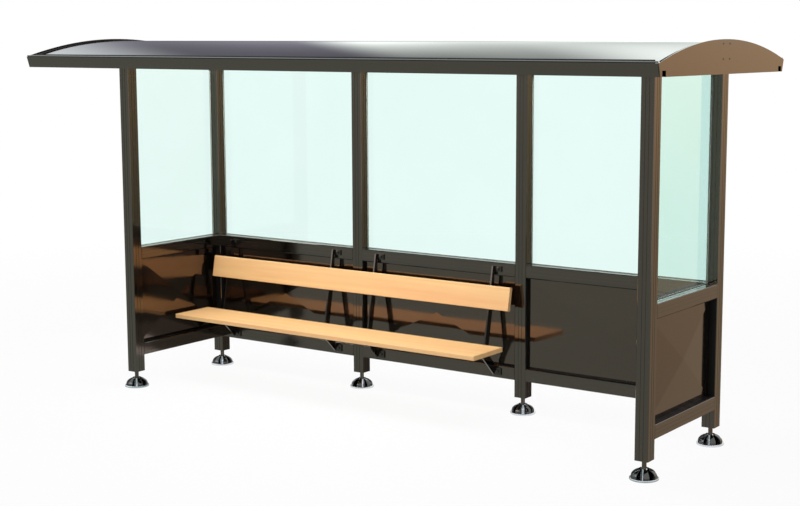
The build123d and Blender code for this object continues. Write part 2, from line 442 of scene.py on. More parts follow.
@dataclass(frozen=True)
class GlassFinish:
    """Clear safety glass with a pale green body."""

    name: str = "pale_green_glass"
    clear: Colour = (0.835, 1.0, 0.965)
    filmed: Colour = (0.815, 0.99, 0.945)
    film_scale: float = 2.5
    index: float = 1.42
    smear: float = 0.006
    smear_scale: float = 4.0

    def material(self, effects: Effects) -> Material:
        """Make the glass, with a faint film that changes over the pane.

        Args:
            effects: Shared shader groups.

        Returns:
            The material.
        """
        surface = Surface(self.name)
        film = surface.mottled(effects, self.film_scale, 0.0, 1.0)
        surface.fill("Base Color", surface.wiring.mix(film, self.clear, self.filmed))
        surface.fill("Roughness", surface.mottled(effects, self.smear_scale, 0.0, self.smear))
        surface.fill("IOR", self.index)
        surface.fill("Transmission Weight", 1.0)
        return surface.material


@dataclass(frozen=True)
class TimberFinish:
    """Planed pale boards with a thin clear oil."""

    name: str = "oiled_timber"
    early: Colour = (0.945, 0.625, 0.275)
    late: Colour = (0.86, 0.475, 0.195)
    flush: Colour = (0.93, 0.50, 0.235)
    flush_scale: float = 1.3
    flush_stretch: Scale = (0.6, 9.0, 9.0)
    flush_share: float = 0.6
    streak_share: float = 0.35
    smooth: float = 0.42
    rough: float = 0.55
    gloss_scale: float = 12.0
    grain_depth: float = 0.12
    grain_height: float = 0.0004

    def material(self, effects: Effects) -> Material:
        """Make the timber, with its grain along the boards.

        Args:
            effects: Shared shader groups.

        Returns:
            The material.
        """
        surface = Surface(self.name)
        wiring = surface.wiring
        grain = surface.group(effects.grain, {})
        blush = surface.group(
            effects.mottle,
            {"Scale": self.flush_scale, "Low": 0.0, "High": self.flush_share},
            surface.scaled(self.flush_stretch),
        )
        banded = wiring.mix(grain["Band"], self.early, self.late)
        streaked = wiring.reckon("MULTIPLY", grain["Streak"], self.streak_share)
        fibrous = wiring.mix(streaked, banded, self.early)
        surface.fill("Base Color", wiring.mix(blush["Value"], fibrous, self.flush))
        surface.fill("Roughness", surface.mottled(effects, self.gloss_scale, self.smooth, self.rough))
        surface.bump(grain["Height"], self.grain_depth, self.grain_height)
        return surface.material


@dataclass(frozen=True)
class ChromeFinish:
    """Bright plated steel with faint wipe marks and dust at the ground."""

    name: str = "bright_plate"
    bright: Colour = (0.76, 0.78, 0.82)
    dull: Colour = (0.52, 0.54, 0.58)
    dull_scale: float = 30.0
    dull_share: float = 0.5
    smooth: float = 0.03
    rough: float = 0.08
    gloss_scale: float = 45.0
    dust_level: float = 0.03
    dust_amount: float = 0.05

    def material(self, effects: Effects) -> Material:
        """Make the plating.

        Args:
            effects: Shared shader groups.

        Returns:
            The material.
        """
        surface = Surface(self.name)
        shade = surface.mottled(effects, self.dull_scale, 0.0, self.dull_share)
        gloss = surface.mottled(effects, self.gloss_scale, self.smooth, self.rough)
        dust = surface.group(effects.dust, {"Level": self.dust_level, "Amount": self.dust_amount})["Mask"]
        surface.fill("Base Color", surface.wiring.mix(shade, self.bright, self.dull))
        surface.fill("Roughness", surface.wiring.sum(gloss, dust))
        surface.fill("Metallic", 1.0)
        return surface.material


BRACKET_BLACK = CoatedFinish(
    name="bracket_black",
    dark=(0.0015, 0.0015, 0.0016),
    pale=(0.004, 0.004, 0.0042),
    smooth=0.06,
    rough=0.12,
    gloss_index=1.9,
    peel_scale=900.0,
    peel_depth=0.06,
    gloss_tint=(0.78, 0.62, 0.52),
)
# Rubber of the real seals, and of the dark strips inside the gables and behind the edge lips, which are
# painted shade.
SEAL_AND_SHADE_RUBBER = CoatedFinish(
    name="seal_rubber",
    dark=(0.003, 0.003, 0.003),
    pale=(0.006, 0.006, 0.006),
    smooth=0.45,
    rough=0.6,
    gloss_index=1.3,
    peel_scale=1400.0,
    peel_depth=0.2,
)
SEAL_SILICONE = CoatedFinish(
    name="seal_silicone",
    dark=(0.42, 0.47, 0.415),
    pale=(0.50, 0.55, 0.485),
    smooth=0.35,
    rough=0.5,
    gloss_index=1.42,
    peel_scale=900.0,
    peel_depth=0.08,
)
FOOT_ENAMEL = CoatedFinish(
    name="foot_enamel",
    dark=(0.0012, 0.0012, 0.0013),
    pale=(0.003, 0.003, 0.0032),
    smooth=0.03,
    rough=0.08,
    gloss_index=1.9,
    peel_scale=500.0,
    peel_depth=0.03,
)
FRAME_LACQUER = LacquerFinish("dark_lacquer")
PANEL_LACQUER = LacquerFinish("panel_lacquer", rough=0.12, gloss_tint=(1.0, 0.73, 0.59), line_depth=0.01)
ROOF_GLOSS = LacquerFinish(
    "roof_sheet_gloss", smooth=0.05, rough=0.10, gloss_tint=WHITE, line_depth=0.01
)


@dataclass
class Finishes:
    """Every finish of the shelter, made once from the shared effects."""

    effects: Effects
    frame: dict[Run, Material] = field(init=False)
    panel: Material = field(init=False)
    roof: Material = field(init=False)
    bracket: Material = field(init=False)
    rubber: Material = field(init=False)
    silicone: Material = field(init=False)
    enamel: Material = field(init=False)
    glass: Material = field(init=False)
    timber: Material = field(init=False)
    chrome: Material = field(init=False)

    def __post_init__(self) -> None:
        """Make the materials."""
        self.frame = {run: FRAME_LACQUER.material(self.effects, run) for run in Run}
        self.panel = PANEL_LACQUER.material(self.effects, Run.ALONG_X)
        self.roof = ROOF_GLOSS.material(self.effects, Run.ALONG_X)
        self.bracket = BRACKET_BLACK.material(self.effects)
        self.rubber = SEAL_AND_SHADE_RUBBER.material(self.effects)
        self.silicone = SEAL_SILICONE.material(self.effects)
        self.enamel = FOOT_ENAMEL.material(self.effects)
        self.glass = GlassFinish().material(self.effects)
        self.timber = TimberFinish().material(self.effects)
        self.chrome = ChromeFinish().material(self.effects)


def dress(node: str, material: Material) -> Thing:
    """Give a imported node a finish.

    Args:
        node: Name of the node.
        material: Its finish.

    Returns:
        The node's object.
    """
    piece = frame["nodes"][node]
    if not piece.material_slots:
        piece.data.materials.append(material)
    for slot in piece.material_slots:
        slot.material = material
    LOG.info("dressed %s in %s", node, material.name)
    return piece


def mesh_of(name: str, shape: Shape) -> Mesh:
    """Turn a shape into a mesh.

    Args:
        name: Name of the mesh.
        shape: The shape, which is freed.

    Returns:
        The mesh.
    """
    mesh = bpy.data.meshes.new(name)
    shape.to_mesh(mesh)
    shape.free()
    return mesh


def add_piece(
    name: str, shape: Shape, material: Material, sharp_degrees: float = 35.0
) -> Thing:
    """Turn a finished shape into a piece that rides on the shelter.

    Args:
        name: Name of the piece.
        shape: Its shape, which is freed.
        material: Its finish.
        sharp_degrees: Edges that turn more than this stay sharp.

    Returns:
        The new object.
    """
    bmesh.ops.remove_doubles(shape, verts=shape.verts, dist=MERGE_DISTANCE)
    bmesh.ops.recalc_face_normals(shape, faces=shape.faces)
    for face in shape.faces:
        face.smooth = True
    mesh = mesh_of(name, shape)
    mesh.set_sharp_from_angle(angle=math.radians(sharp_degrees))
    mesh.materials.append(material)
    piece = bpy.data.objects.new(name, mesh)
    bpy.context.scene.collection.objects.link(piece)
    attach(piece, BODY)
    LOG.info("built %s with %d faces", name, len(mesh.polygons))
    return piece


def spun(profile: Profile, steps: int) -> Shape:
    """Turn a profile about the upright axis.

    Args:
        profile: Radius and height of each point, from the foot up.
        steps: Number of steps in the turn.

    Returns:
        The turned shell.
    """
    shape = bmesh.new()
    points = [shape.verts.new((radius, 0.0, height)) for radius, height in profile]
    edges = [shape.edges.new(pair) for pair in zip(points, points[1:])]
    bmesh.ops.spin(
        shape, geom=points + edges, cent=ORIGIN, axis=UPRIGHT, angle=math.tau, steps=steps, use_merge=True
    )
    bmesh.ops.remove_doubles(shape, verts=shape.verts, dist=MERGE_DISTANCE)
    bmesh.ops.recalc_face_normals(shape, faces=shape.faces)
    return shape


def vertices_of(result: dict) -> list[bmesh.types.BMVert]:
    """Vertices in what a mesh operator hands back."""
    return [item for item in result["geom"] if isinstance(item, bmesh.types.BMVert)]


def soften(shape: Shape, edges: list[bmesh.types.BMEdge], offset: float, segments: int) -> None:
    """Round edges of a shape by an offset, in a number of segments."""
    bmesh.ops.bevel(
        shape, geom=edges, offset=offset, segments=segments, profile=0.5, affect="EDGES", material=-1
    )


def merge(target: Shape, part: Shape, place: Matrix) -> None:
    """Add a part to a shape.

    Args:
        target: The shape.
        part: The part, which is freed.
        place: Where it goes.
    """
    bmesh.ops.transform(part, matrix=place, verts=part.verts)
    copy = mesh_of("part", part)
    target.from_mesh(copy)
    bpy.data.meshes.remove(copy)


@dataclass
class FrameWork:
    """Posts, rails and beams of extruded profile."""

    finishes: Finishes

    def build(self) -> None:
        """Dress every profile with lines along its run."""
        for node in frame["nodes"]:
            run = self.run_of(node)
            if run is not None:
                dress(node, self.finishes.frame[run])

    @staticmethod
    def run_of(node: str) -> Run | None:
        """Tell the way that a profile runs.

        Args:
            node: Name of the node.

        Returns:
            The way, or nothing for another kind of piece.
        """
        if node.endswith("_post"):
            return Run.ALONG_Z
        if node.endswith("_beam") or (node.startswith("back_") and "_rail_" in node):
            return Run.ALONG_X
        if node.endswith("_rail"):
            return Run.ALONG_Y
        return None


@dataclass
class Walls:
    """Panes and pressed panels, with the seals that hold them."""

    finishes: Finishes
    seal_width: float = 0.0035
    seal_height: float = 0.0025
    seal_bevel: float = 0.0008
    bevel_segments: int = 2
    corner_turn: float = 1.0
    lip_inset: float = 0.006

    def build(self) -> None:
        """Dress the infill and seat a seal on both faces of each pane and panel."""
        for node in list(frame["nodes"]):
            if "_glass" in node:
                pane = dress(node, self.finishes.glass)
                pane.visible_shadow = False
                self.add_seal(node, self.finishes.silicone)
            elif "_panel" in node:
                dress(node, self.finishes.panel)
                self.add_seal(node, self.finishes.rubber, -1 if node.startswith("back_") else 1)

    def add_seal(self, node: str, material: Material, lined_side: int = 0) -> None:
        """Build the pair of seal rings of one pane or panel.

        Args:
            node: Name of the pane or panel.
            material: Finish of the seal.
            lined_side: Side where the seal lines the whole recess, or 0 for neither.
        """
        low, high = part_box(node)
        size = high - low
        thin = min(range(3), key=lambda axis: size[axis])
        shape = bmesh.new()
        for face, side in self.seats(node, thin):
            height = self.seal_height
            if side == lined_side:
                height = self.recess(node, thin, face, side) - self.lip_inset
            place = self.ring_place((low + high) / 2, thin, face, side)
            merge(shape, self.ring(size, thin, height), place)
        add_piece(f"{node}_seal", shape, material)

    @staticmethod
    def recess(node: str, thin: int, face: float, side: int) -> float:
        """Depth of a panel's rim behind the face of the rail above it."""
        low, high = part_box(node.replace("_panel", "_mid_rail"))
        return high[thin] - face if side > 0 else face - low[thin]

    @staticmethod
    def seats(node: str, thin: int) -> list[tuple[float, int]]:
        """Find the two faces of a flat rim.

        Args:
            node: Name of the pane or panel.
            thin: Axis across the wall.

        Returns:
            Place of each face across the wall, with the way it looks.
        """
        vertices = frame["nodes"][node].data.vertices
        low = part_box(node)[0]
        wide = 1 - thin
        edge = [vertex.co[thin] for vertex in vertices if vertex.co[wide] < low[wide] + RIM_TOLERANCE]
        return [(min(edge), -1), (max(edge), 1)]

    def ring(self, size: Vector, thin: int, height: float) -> Shape:
        """Build a frame of a pane's size, standing on the XY plane.

        Args:
            size: Size of the pane.
            thin: Axis across the wall.
            height: Height of the frame.

        Returns:
            The frame, with its upper corners rounded.
        """
        shape = bmesh.new()
        bmesh.ops.create_grid(shape, x_segments=1, y_segments=1, size=0.5)
        bmesh.ops.scale(shape, vec=(size[1 - thin], size.z, 1.0), verts=shape.verts)
        inset = bmesh.ops.inset_region(
            shape, faces=shape.faces[:], thickness=self.seal_width, use_even_offset=True, use_boundary=True
        )
        middle = [face for face in shape.faces if face not in inset["faces"]]
        bmesh.ops.delete(shape, geom=middle, context="FACES_ONLY")
        raised = bmesh.ops.extrude_face_region(shape, geom=shape.faces[:], use_keep_orig=True)
        bmesh.ops.translate(shape, verts=vertices_of(raised), vec=(0.0, 0.0, height))
        bmesh.ops.recalc_face_normals(shape, faces=shape.faces)
        top = [edge for edge in shape.edges if all(vert.co.z > height / 2 for vert in edge.verts)]
        corners = [e for e in top if not e.is_boundary and e.calc_face_angle(0.0) > self.corner_turn]
        soften(shape, corners, self.seal_bevel, self.bevel_segments)
        return shape

    @staticmethod
    def ring_place(middle: Vector, thin: int, height: float, side: int) -> Matrix:
        """Find the place that stands a flat ring on one face of an upright pane.

        Args:
            middle: Middle of the pane.
            thin: Axis across the wall.
            height: Place of the face along that axis.
            side: Way that the face looks, -1 or 1.

        Returns:
            The place.
        """
        outward = Vector(ORIGIN)
        outward[thin] = side
        up = Vector(UPRIGHT)
        turn = Matrix((up.cross(outward), up, outward)).transposed().to_4x4()
        spot = middle.copy()
        spot[thin] = height
        return Matrix.Translation(spot) @ turn


@dataclass
class Roof:
    """Arched sheet, edge profiles, gables and ribs, with beads and screws, and dark rubber strips that paint
    the shade inside the gables and the shade and reflection behind the edge lips.
    """

    finishes: Finishes
    upstand: float = 0.012
    # Dark strip inside each gable, which is painted shade: its width and its drop below the gable's top.
    gable_seal_width: float = 0.005
    gable_seal_drop: float = 0.0025
    arch_steps: int = 48
    lip_depth: float = 0.025
    bead_radius: float = 0.0045
    bead_reach: float = 0.001
    # Dark strip behind each edge lip, which is painted shade and reflection: its width, rise, depth and
    # shortening at the ends.
    edge_seal_width: float = 0.010
    edge_seal_rise: float = 0.0105
    edge_seal_depth: float = 0.020
    edge_seal_short: float = 0.03
    trim_sharp_degrees: float = 60.0
    round_steps: int = 24
    screw_radius: float = 0.0055
    screw_height: float = 0.0022
    screw_spread: float = 0.039
    screw_drops: tuple[float, float] = (0.022, 0.100)
    screw_shares: tuple[Point, ...] = (
        (0.0, 0.0),
        (1.0, 0.0),
        (1.0, 0.35),
        (0.8, 0.8),
        (0.5, 1.0),
        (0.42, 1.0),
        (0.42, 0.4),
        (0.0, 0.4),
    )

    def build(self) -> None:
        """Dress the roof, trim its edges and screw on its gables."""
        dress("roof_sheet", self.finishes.roof)
        for node in frame["nodes"]:
            if node.startswith("roof_") and node.endswith("_edge"):
                dress(node, self.finishes.frame[Run.ALONG_X])
            elif node.endswith("_gable") or node.startswith("roof_rib"):
                dress(node, self.finishes.frame[Run.ALONG_Y])
        # Screws, and a dark strip of painted shade inside each gable.
        for node, side in (("left_gable", -1), ("right_gable", 1)):
            self.add_screws(node, side)
            self.add_gable_seal(node, side)
        # A bead, and a dark strip of painted shade and reflection, along each edge lip.
        for node, side in (("roof_front_edge", -1), ("roof_back_edge", 1)):
            self.add_edge_trim(node, side)

    @staticmethod
    def arch() -> tuple[float, float]:
        """Work out the arch from the gable's chord and rise.

        Returns:
            Height of the arch's centre, and its radius.
        """
        low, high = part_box("left_gable")
        half = (high.y - low.y) / 2
        rise = high.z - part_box("roof_front_edge")[1].z
        radius = (half * half + rise * rise) / (2 * rise)
        return high.z - radius, radius

    def add_gable_seal(self, node: str, side: int) -> None:
        """Build the dark rubber strip along the arch, inside one gable, which is painted shade: it stands in
        for the shadow on the gable's inner face.

        Args:
            node: Name of the gable.
            side: End of the roof that it closes, -1 or 1.
        """
        low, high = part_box(node)
        centre, radius = self.arch()
        outer = low.x if side > 0 else high.x
        inner = outer - side * self.gable_seal_width
        top = radius - self.gable_seal_drop
        bottom = radius - self.upstand
        half_angle = math.asin(((high.y - low.y) / 2 - self.lip_depth) / radius)
        shape = bmesh.new()
        corners = ((inner, bottom), (outer, bottom), (outer, top), (inner, top))
        section = shape.faces.new([shape.verts.new((x, 0.0, centre + reach)) for x, reach in corners])
        middle = Vector((0.0, 0.0, centre))
        turn = Matrix.Rotation(-half_angle, 3, "X")
        bmesh.ops.rotate(shape, verts=shape.verts, cent=middle, matrix=turn)
        sweep = {"axis": (1.0, 0.0, 0.0), "angle": 2 * half_angle, "steps": self.arch_steps}
        bmesh.ops.spin(shape, geom=[section], cent=middle, **sweep)
        # The dark rubber strip paints the shade on the gable's inner face.
        add_piece(f"{node}_seal", shape, self.finishes.rubber)

    def add_edge_trim(self, node: str, side: int) -> None:
        """Build the rounded bead on one edge's lip, and the dark rubber strip between the lip and the sheet,
        which is painted shade and reflection: it stands in for the dark line behind the lip.

        Args:
            node: Name of the edge profile.
            side: Side of the roof that it closes, -1 or 1.
        """
        low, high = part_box(node)
        outer = low.y if side < 0 else high.y
        bead = self.bar(low.x, high.x, self.bead_radius, 0.0)
        spot = Vector((0.0, outer - side * (self.bead_radius - self.bead_reach), high.z))
        bmesh.ops.translate(bead, verts=bead.verts, vec=spot)
        add_piece(f"{node}_bead", bead, self.finishes.roof, self.trim_sharp_degrees)
        # The dark rubber strip behind the lip paints the shade and reflection that make a dark line there.
        half_width = self.edge_seal_width / 2
        start, end = low.x + self.edge_seal_short, high.x - self.edge_seal_short
        seal = self.bar(start, end, half_width, self.edge_seal_depth)
        top = high.z + self.edge_seal_rise - half_width
        spot = Vector((0.0, outer - side * (self.lip_depth + half_width), top))
        bmesh.ops.translate(seal, verts=seal.verts, vec=spot)
        add_piece(f"{node}_seal", seal, self.finishes.rubber, self.trim_sharp_degrees)

    def bar(self, start: float, end: float, radius: float, depth: float) -> Shape:
        """Build a bar along X with a rounded top, and a round or upright underside.

        Args:
            start: Where it starts.
            end: Where it ends.
            radius: Radius of the rounding, about the X axis.
            depth: How far the sides run down below that axis, or 0 for a round bar.

        Returns:
            The bar.
        """
        shape = bmesh.new()
        count = self.round_steps if depth == 0.0 else self.round_steps // 2 + 1
        angles = [math.tau * step / self.round_steps for step in range(count)]
        outline = [(radius * math.cos(angle), radius * math.sin(angle)) for angle in angles]
        if depth > 0.0:
            outline += [(-radius, -depth), (radius, -depth)]
        section = shape.faces.new([shape.verts.new((start, y, z)) for y, z in outline])
        moved = bmesh.ops.extrude_face_region(shape, geom=[section], use_keep_orig=True)
        bmesh.ops.translate(shape, verts=vertices_of(moved), vec=(end - start, 0.0, 0.0))
        return shape

    def add_screws(self, node: str, side: int) -> None:
        """Build the four low-domed screws in the middle of one gable.

        Args:
            node: Name of the gable.
            side: End of the roof that it closes, -1 or 1.
        """
        low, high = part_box(node)
        face = low.x if side < 0 else high.x
        middle = (low.y + high.y) / 2
        turn = Matrix.Rotation(side * math.pi / 2, 4, "Y")
        shape = bmesh.new()
        for drop in self.screw_drops:
            for across in (-self.screw_spread, self.screw_spread):
                spot = Matrix.Translation((face, middle + across, high.z - drop))
                merge(shape, self.screw(), spot @ turn)
        add_piece(f"{node}_screws", shape, self.finishes.frame[Run.ALONG_Z])

    def screw(self) -> Shape:
        """One low-domed screw head that stands on the XY plane, with a round socket."""
        profile = [(self.screw_radius * out, self.screw_height * up) for out, up in self.screw_shares]
        return spun(profile, self.round_steps)


@dataclass
class Bench:
    """Seat board, back rest and cut plate brackets, with the bolts of the brackets' flanges."""

    finishes: Finishes
    flange_thickness: float = 0.008
    bolt_inset: float = 0.036
    top_bolt_drop: float = 0.018
    low_bolt_rise: float = 0.023
    head_width: float = 0.019
    head_height: float = 0.007
    head_sides: int = 6
    washer_radius: float = 0.014
    washer_height: float = 0.002
    washer_steps: int = 32
    bevel_share: float = 0.4
    bevel_segments: int = 2

    def build(self) -> None:
        """Dress the bench and bolt its brackets to the wall."""
        for node in ("bench_seat", "bench_back_rest"):
            dress(node, self.finishes.timber)
        for node in sorted(frame["nodes"]):
            if node.startswith("bench_bracket"):
                dress(node, self.finishes.bracket)
                self.add_bolts(node)

    def add_bolts(self, node: str) -> None:
        """Build the bolt of each flange of one bracket.

        Args:
            node: Name of the bracket.
        """
        low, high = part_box(node)
        face = high.y - self.flange_thickness
        turn = Matrix.Rotation(math.pi / 2, 4, "X")
        shape = bmesh.new()
        for height in (high.z - self.top_bolt_drop, low.z + self.low_bolt_rise):
            spot = Matrix.Translation((low.x + self.bolt_inset, face, height))
            merge(shape, self.bolt(), spot @ turn)
        add_piece(f"{node}_bolts", shape, self.finishes.bracket)

    def bolt(self) -> Shape:
        """Build one hexagon head on a washer, standing on the XY plane.

        Returns:
            The bolt.
        """
        shape = bmesh.new()
        head_radius = self.head_width / math.sqrt(3.0)
        head_top = self.washer_height + self.head_height
        for sides, radius, bottom, top in (
            (self.washer_steps, self.washer_radius, 0.0, self.washer_height),
            (self.head_sides, head_radius, self.washer_height, head_top),
        ):
            block = bmesh.new()
            bmesh.ops.create_cone(
                block, cap_ends=True, segments=sides, radius1=radius, radius2=radius, depth=top - bottom
            )
            upper = [edge for edge in block.edges if all(vert.co.z > 0.0 for vert in edge.verts)]
            soften(block, upper, self.washer_height * self.bevel_share, self.bevel_segments)
            merge(shape, block, Matrix.Translation((0.0, 0.0, (bottom + top) / 2)))
        return shape


@dataclass
class Feet:
    """Plated levelling feet with domed lobes, and the studs that carry the posts."""

    finishes: Finishes
    flange_height: float = 0.012
    flange_round: float = 0.004
    flutes: int = 36
    flute_steps: int = 8
    flute_depth: float = 0.0016
    dome_share: float = 0.89
    dome_rim: float = 0.006
    dome_top: float = 0.062
    hub_share: float = 0.30
    hub_steps: int = 48
    lobes: int = 6
    lobe_steps: int = 12
    slot_degrees: float = 31.0
    lobe_round: float = 0.0016
    lobe_corner_degrees: float = 50.0
    lobe_segments: int = 3
    stud_radius: float = 0.013
    stud_steps: int = 32
    arc_steps: int = 9
    sharp_degrees: float = 40.0
    turns: dict[str, float] = field(
        default_factory=lambda: {"front_right_foot": -8.0, "back_right_foot": -8.0, "back_inner_1_foot": 38.0}
    )
    plain_turn: float = 20.0

    def build(self) -> None:
        """Replace each plain foot by a plated one with its stud."""
        for node in sorted(frame["nodes"]):
            if node.endswith("_foot"):
                self.add_foot(node)

    def add_foot(self, node: str) -> None:
        """Build one foot and its stud.

        Args:
            node: Name of the plain foot.
        """
        low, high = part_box(node)
        radius = (high.x - low.x) / 2
        turn = Matrix.Rotation(math.radians(self.turns.get(node, self.plain_turn)), 4, "Z")
        spot = Matrix.Translation(((low.x + high.x) / 2, (low.y + high.y) / 2, low.z)) @ turn
        base = self.flange(radius)
        merge(base, self.hub(radius * self.hub_share), Matrix.Identity(4))
        dome = bmesh.new()
        lobe_angle = math.tau / self.lobes
        for index in range(self.lobes):
            merge(dome, self.lobe(radius * self.dome_share), Matrix.Rotation(index * lobe_angle, 4, "Z"))
        stud = self.stud(high.z - low.z)
        for shape in (base, dome, stud):
            bmesh.ops.transform(shape, matrix=spot, verts=shape.verts)
        foot = add_piece(f"{node}_base", base, self.finishes.chrome, self.sharp_degrees)
        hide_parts(node)
        add_piece(f"{node}_lobes", dome, self.finishes.enamel, self.sharp_degrees)
        add_piece(f"{node}_stud", stud, self.finishes.frame[Run.ALONG_Z])

    def quarter(self) -> list[float]:
        """Angles of a quarter turn in even steps."""
        return [math.pi / 2 * step / self.arc_steps for step in range(self.arc_steps + 1)]

    def flange(self, radius: float) -> Shape:
        """Build the round base plate, with a rounded and finely fluted rim.

        Args:
            radius: Its radius.

        Returns:
            The plate.
        """
        turn = self.flange_round
        inner, shoulder = radius - turn, self.flange_height - turn
        rim = [(inner + turn * math.cos(a), shoulder + turn * math.sin(a)) for a in self.quarter()]
        profile = [(0.0, 0.0), (radius, 0.0), *rim, (0.0, self.flange_height)]
        shape = spun(profile, self.flute_steps * self.flutes)
        for vert in shape.verts:
            reach = vert.co.xy.length
            if reach > inner - turn:
                angle = math.atan2(vert.co.y, vert.co.x)
                cut = self.flute_depth * (1.0 - math.cos(self.flutes * angle)) / 2
                vert.co.xy = vert.co.xy * (1.0 - cut / reach)
        return shape

    def lobe(self, radius: float) -> Shape:
        """Build one domed lobe between two slots that widen outwards.

        Args:
            radius: Radius of the dome.

        Returns:
            The lobe.
        """
        foot, base = self.flange_height, self.flange_height + self.dome_rim
        rise = self.dome_top - base
        dome = [(radius * math.cos(angle), base + rise * math.sin(angle)) for angle in self.quarter()]
        core = radius * self.hub_share
        section = [(core, foot), (radius, foot), *dome[:-1], (core, self.dome_top), (core, base)]
        shape = bmesh.new()
        face = shape.faces.new([shape.verts.new((across, 0.0, height)) for across, height in section])
        sweep = math.tau / self.lobes - math.radians(self.slot_degrees)
        bmesh.ops.spin(shape, geom=[face], cent=ORIGIN, axis=UPRIGHT, angle=sweep, steps=self.lobe_steps)
        bmesh.ops.recalc_face_normals(shape, faces=shape.faces)
        least = math.radians(self.lobe_corner_degrees)
        corners = [edge for edge in shape.edges if edge.is_manifold and edge.calc_face_angle(0.0) > least]
        soften(shape, corners, self.lobe_round, self.lobe_segments)
        return shape

    def hub(self, radius: float) -> Shape:
        """Build the round core that the lobes stand against.

        Args:
            radius: Its radius.

        Returns:
            The core.
        """
        top, turn, start = self.dome_top, self.flange_round, self.flange_height / 2
        profile = [(0.0, start), (radius, start), (radius, top - turn), (radius - turn, top), (0.0, top)]
        return spun(profile, self.hub_steps)

    def stud(self, top: float) -> Shape:
        """Build the plain upright stud from the dome up into the post.

        Args:
            top: Height of its upper end.

        Returns:
            The stud.
        """
        start = self.dome_top - self.flange_round
        profile = [(0.0, start), (self.stud_radius, start), (self.stud_radius, top), (0.0, top)]
        return spun(profile, self.stud_steps)


@dataclass(frozen=True)
class Lamp:
    """Soft lamp that hangs over the set: its size, its power, its place and the point it faces."""

    name: str
    size: tuple[float, float]
    watts: float
    place: Vector
    aim: Vector

    def hang(self) -> None:
        """Hang the lamp where neither the camera nor a gloss shows it."""
        data = bpy.data.lights.new(self.name, "AREA")
        data.shape = "RECTANGLE"
        data.size, data.size_y = self.size
        data.energy = self.watts
        lamp = bpy.data.objects.new(self.name, data)
        lamp.location = self.place
        lamp.rotation_euler = (self.aim - self.place).to_track_quat("-Z", "Y").to_euler()
        lamp.visible_camera = False
        lamp.visible_glossy = False
        bpy.context.scene.collection.objects.link(lamp)


@dataclass(frozen=True)
class FoldedCard:
    """Card that lies on the floor and turns up at its far side, for upright faces to show.

    Its light is given at its near side, at the turn and at its top. The share of that light that
    shows through glass is nothing where glass hides the card.
    """

    name: str
    fold: Point
    width: float
    reach: float
    height: float
    near: Colour
    turn: Colour
    top: Colour
    behind_glass: float | None = None
    lift: float = 0.002

    def shape(self) -> Shape:
        """Build the card, with its light in the glow layer.

        Returns:
            The shape.
        """
        shape = bmesh.new()
        layer = shape.verts.layers.float_color.new(GLOW_LAYER)
        x, y = self.fold
        ends = [shape.verts.new((x + side * self.width / 2, y, self.lift)) for side in (-1, 1)]
        fold = shape.edges.new(ends)
        for vert in ends:
            vert[layer] = (*self.turn, 1.0)
        for way, light in (((0.0, self.reach, 0.0), self.near), ((0.0, 0.0, self.height), self.top)):
            moved = vertices_of(bmesh.ops.extrude_edge_only(shape, edges=[fold]))
            bmesh.ops.translate(shape, verts=moved, vec=way)
            for vert in moved:
                vert[layer] = (*light, 1.0)
        return shape


@dataclass(frozen=True)
class Stop:
    """Light of a round card at one place along it, as a tint with a level for each of its rows."""

    degrees: float
    tint: Colour
    levels: tuple[float, float, float] = (1.0, 1.0, 1.0)

    def light(self, row: int) -> Vector:
        """Light at the foot, knee or head, which are rows 0 to 2, and that of the background above."""
        return Vector(self.tint) * self.levels[row] if row < len(self.levels) else Vector(WHITE)


@dataclass(frozen=True)
class RoundCard:
    """Card that stands round the shelter and fades into the background.

    Each of its heights has one of its stops' rows of light, which changes smoothly from stop to stop.
    """

    name: str
    heights: tuple[float, ...]
    rows: tuple[int, ...]
    stops: tuple[Stop, ...]
    behind_glass: float | None = None
    radius: float = 14.0
    steps_per_degree: float = 2.0

    def shape(self) -> Shape:
        """Build the card, with its light in the glow layer.

        Returns:
            The shape.
        """
        shape = bmesh.new()
        layer = shape.verts.layers.float_color.new(GLOW_LAYER)
        first, last = self.stops[0].degrees, self.stops[-1].degrees
        start, sweep = math.radians(first), math.radians(last) - math.radians(first)
        place = (-self.radius * math.sin(start), self.radius * math.cos(start))
        points = [shape.verts.new((*place, height)) for height in self.heights]
        edges = [shape.edges.new(pair) for pair in zip(points, points[1:])]
        steps = round(self.steps_per_degree * (last - first))
        bmesh.ops.spin(shape, geom=points + edges, cent=ORIGIN, axis=UPRIGHT, angle=sweep, steps=steps)
        for vert in shape.verts:
            angle = math.degrees(math.atan2(-vert.co.x, vert.co.y))
            nearest = min(self.heights, key=lambda height: abs(vert.co.z - height))
            row = self.rows[self.heights.index(nearest)]
            vert[layer] = (*self.light(angle, row), 1.0)
        return shape

    def light(self, angle: float, row: int) -> Vector:
        """Work out the light at one place.

        Args:
            angle: Place along the card, in degrees.
            row: Row of light, from 0 at the foot to 3 at the top.

        Returns:
            The light, eased from stop to stop.
        """
        passed = sum(angle > stop.degrees for stop in self.stops[1:-1])
        before, after = self.stops[passed], self.stops[passed + 1]
        share = min(max((angle - before.degrees) / (after.degrees - before.degrees), 0.0), 1.0)
        return before.light(row).lerp(after.light(row), share * share * (3.0 - 2.0 * share))


BRIGHT = (2.3, 2.4, 2.45)
PALE = (0.94, 1.0, 0.96)
VIOLET = (0.98, 0.96, 1.15)
CLEAR = (0.95, 1.0, 1.03)
DIM = (0.15, 0.14, 0.125)

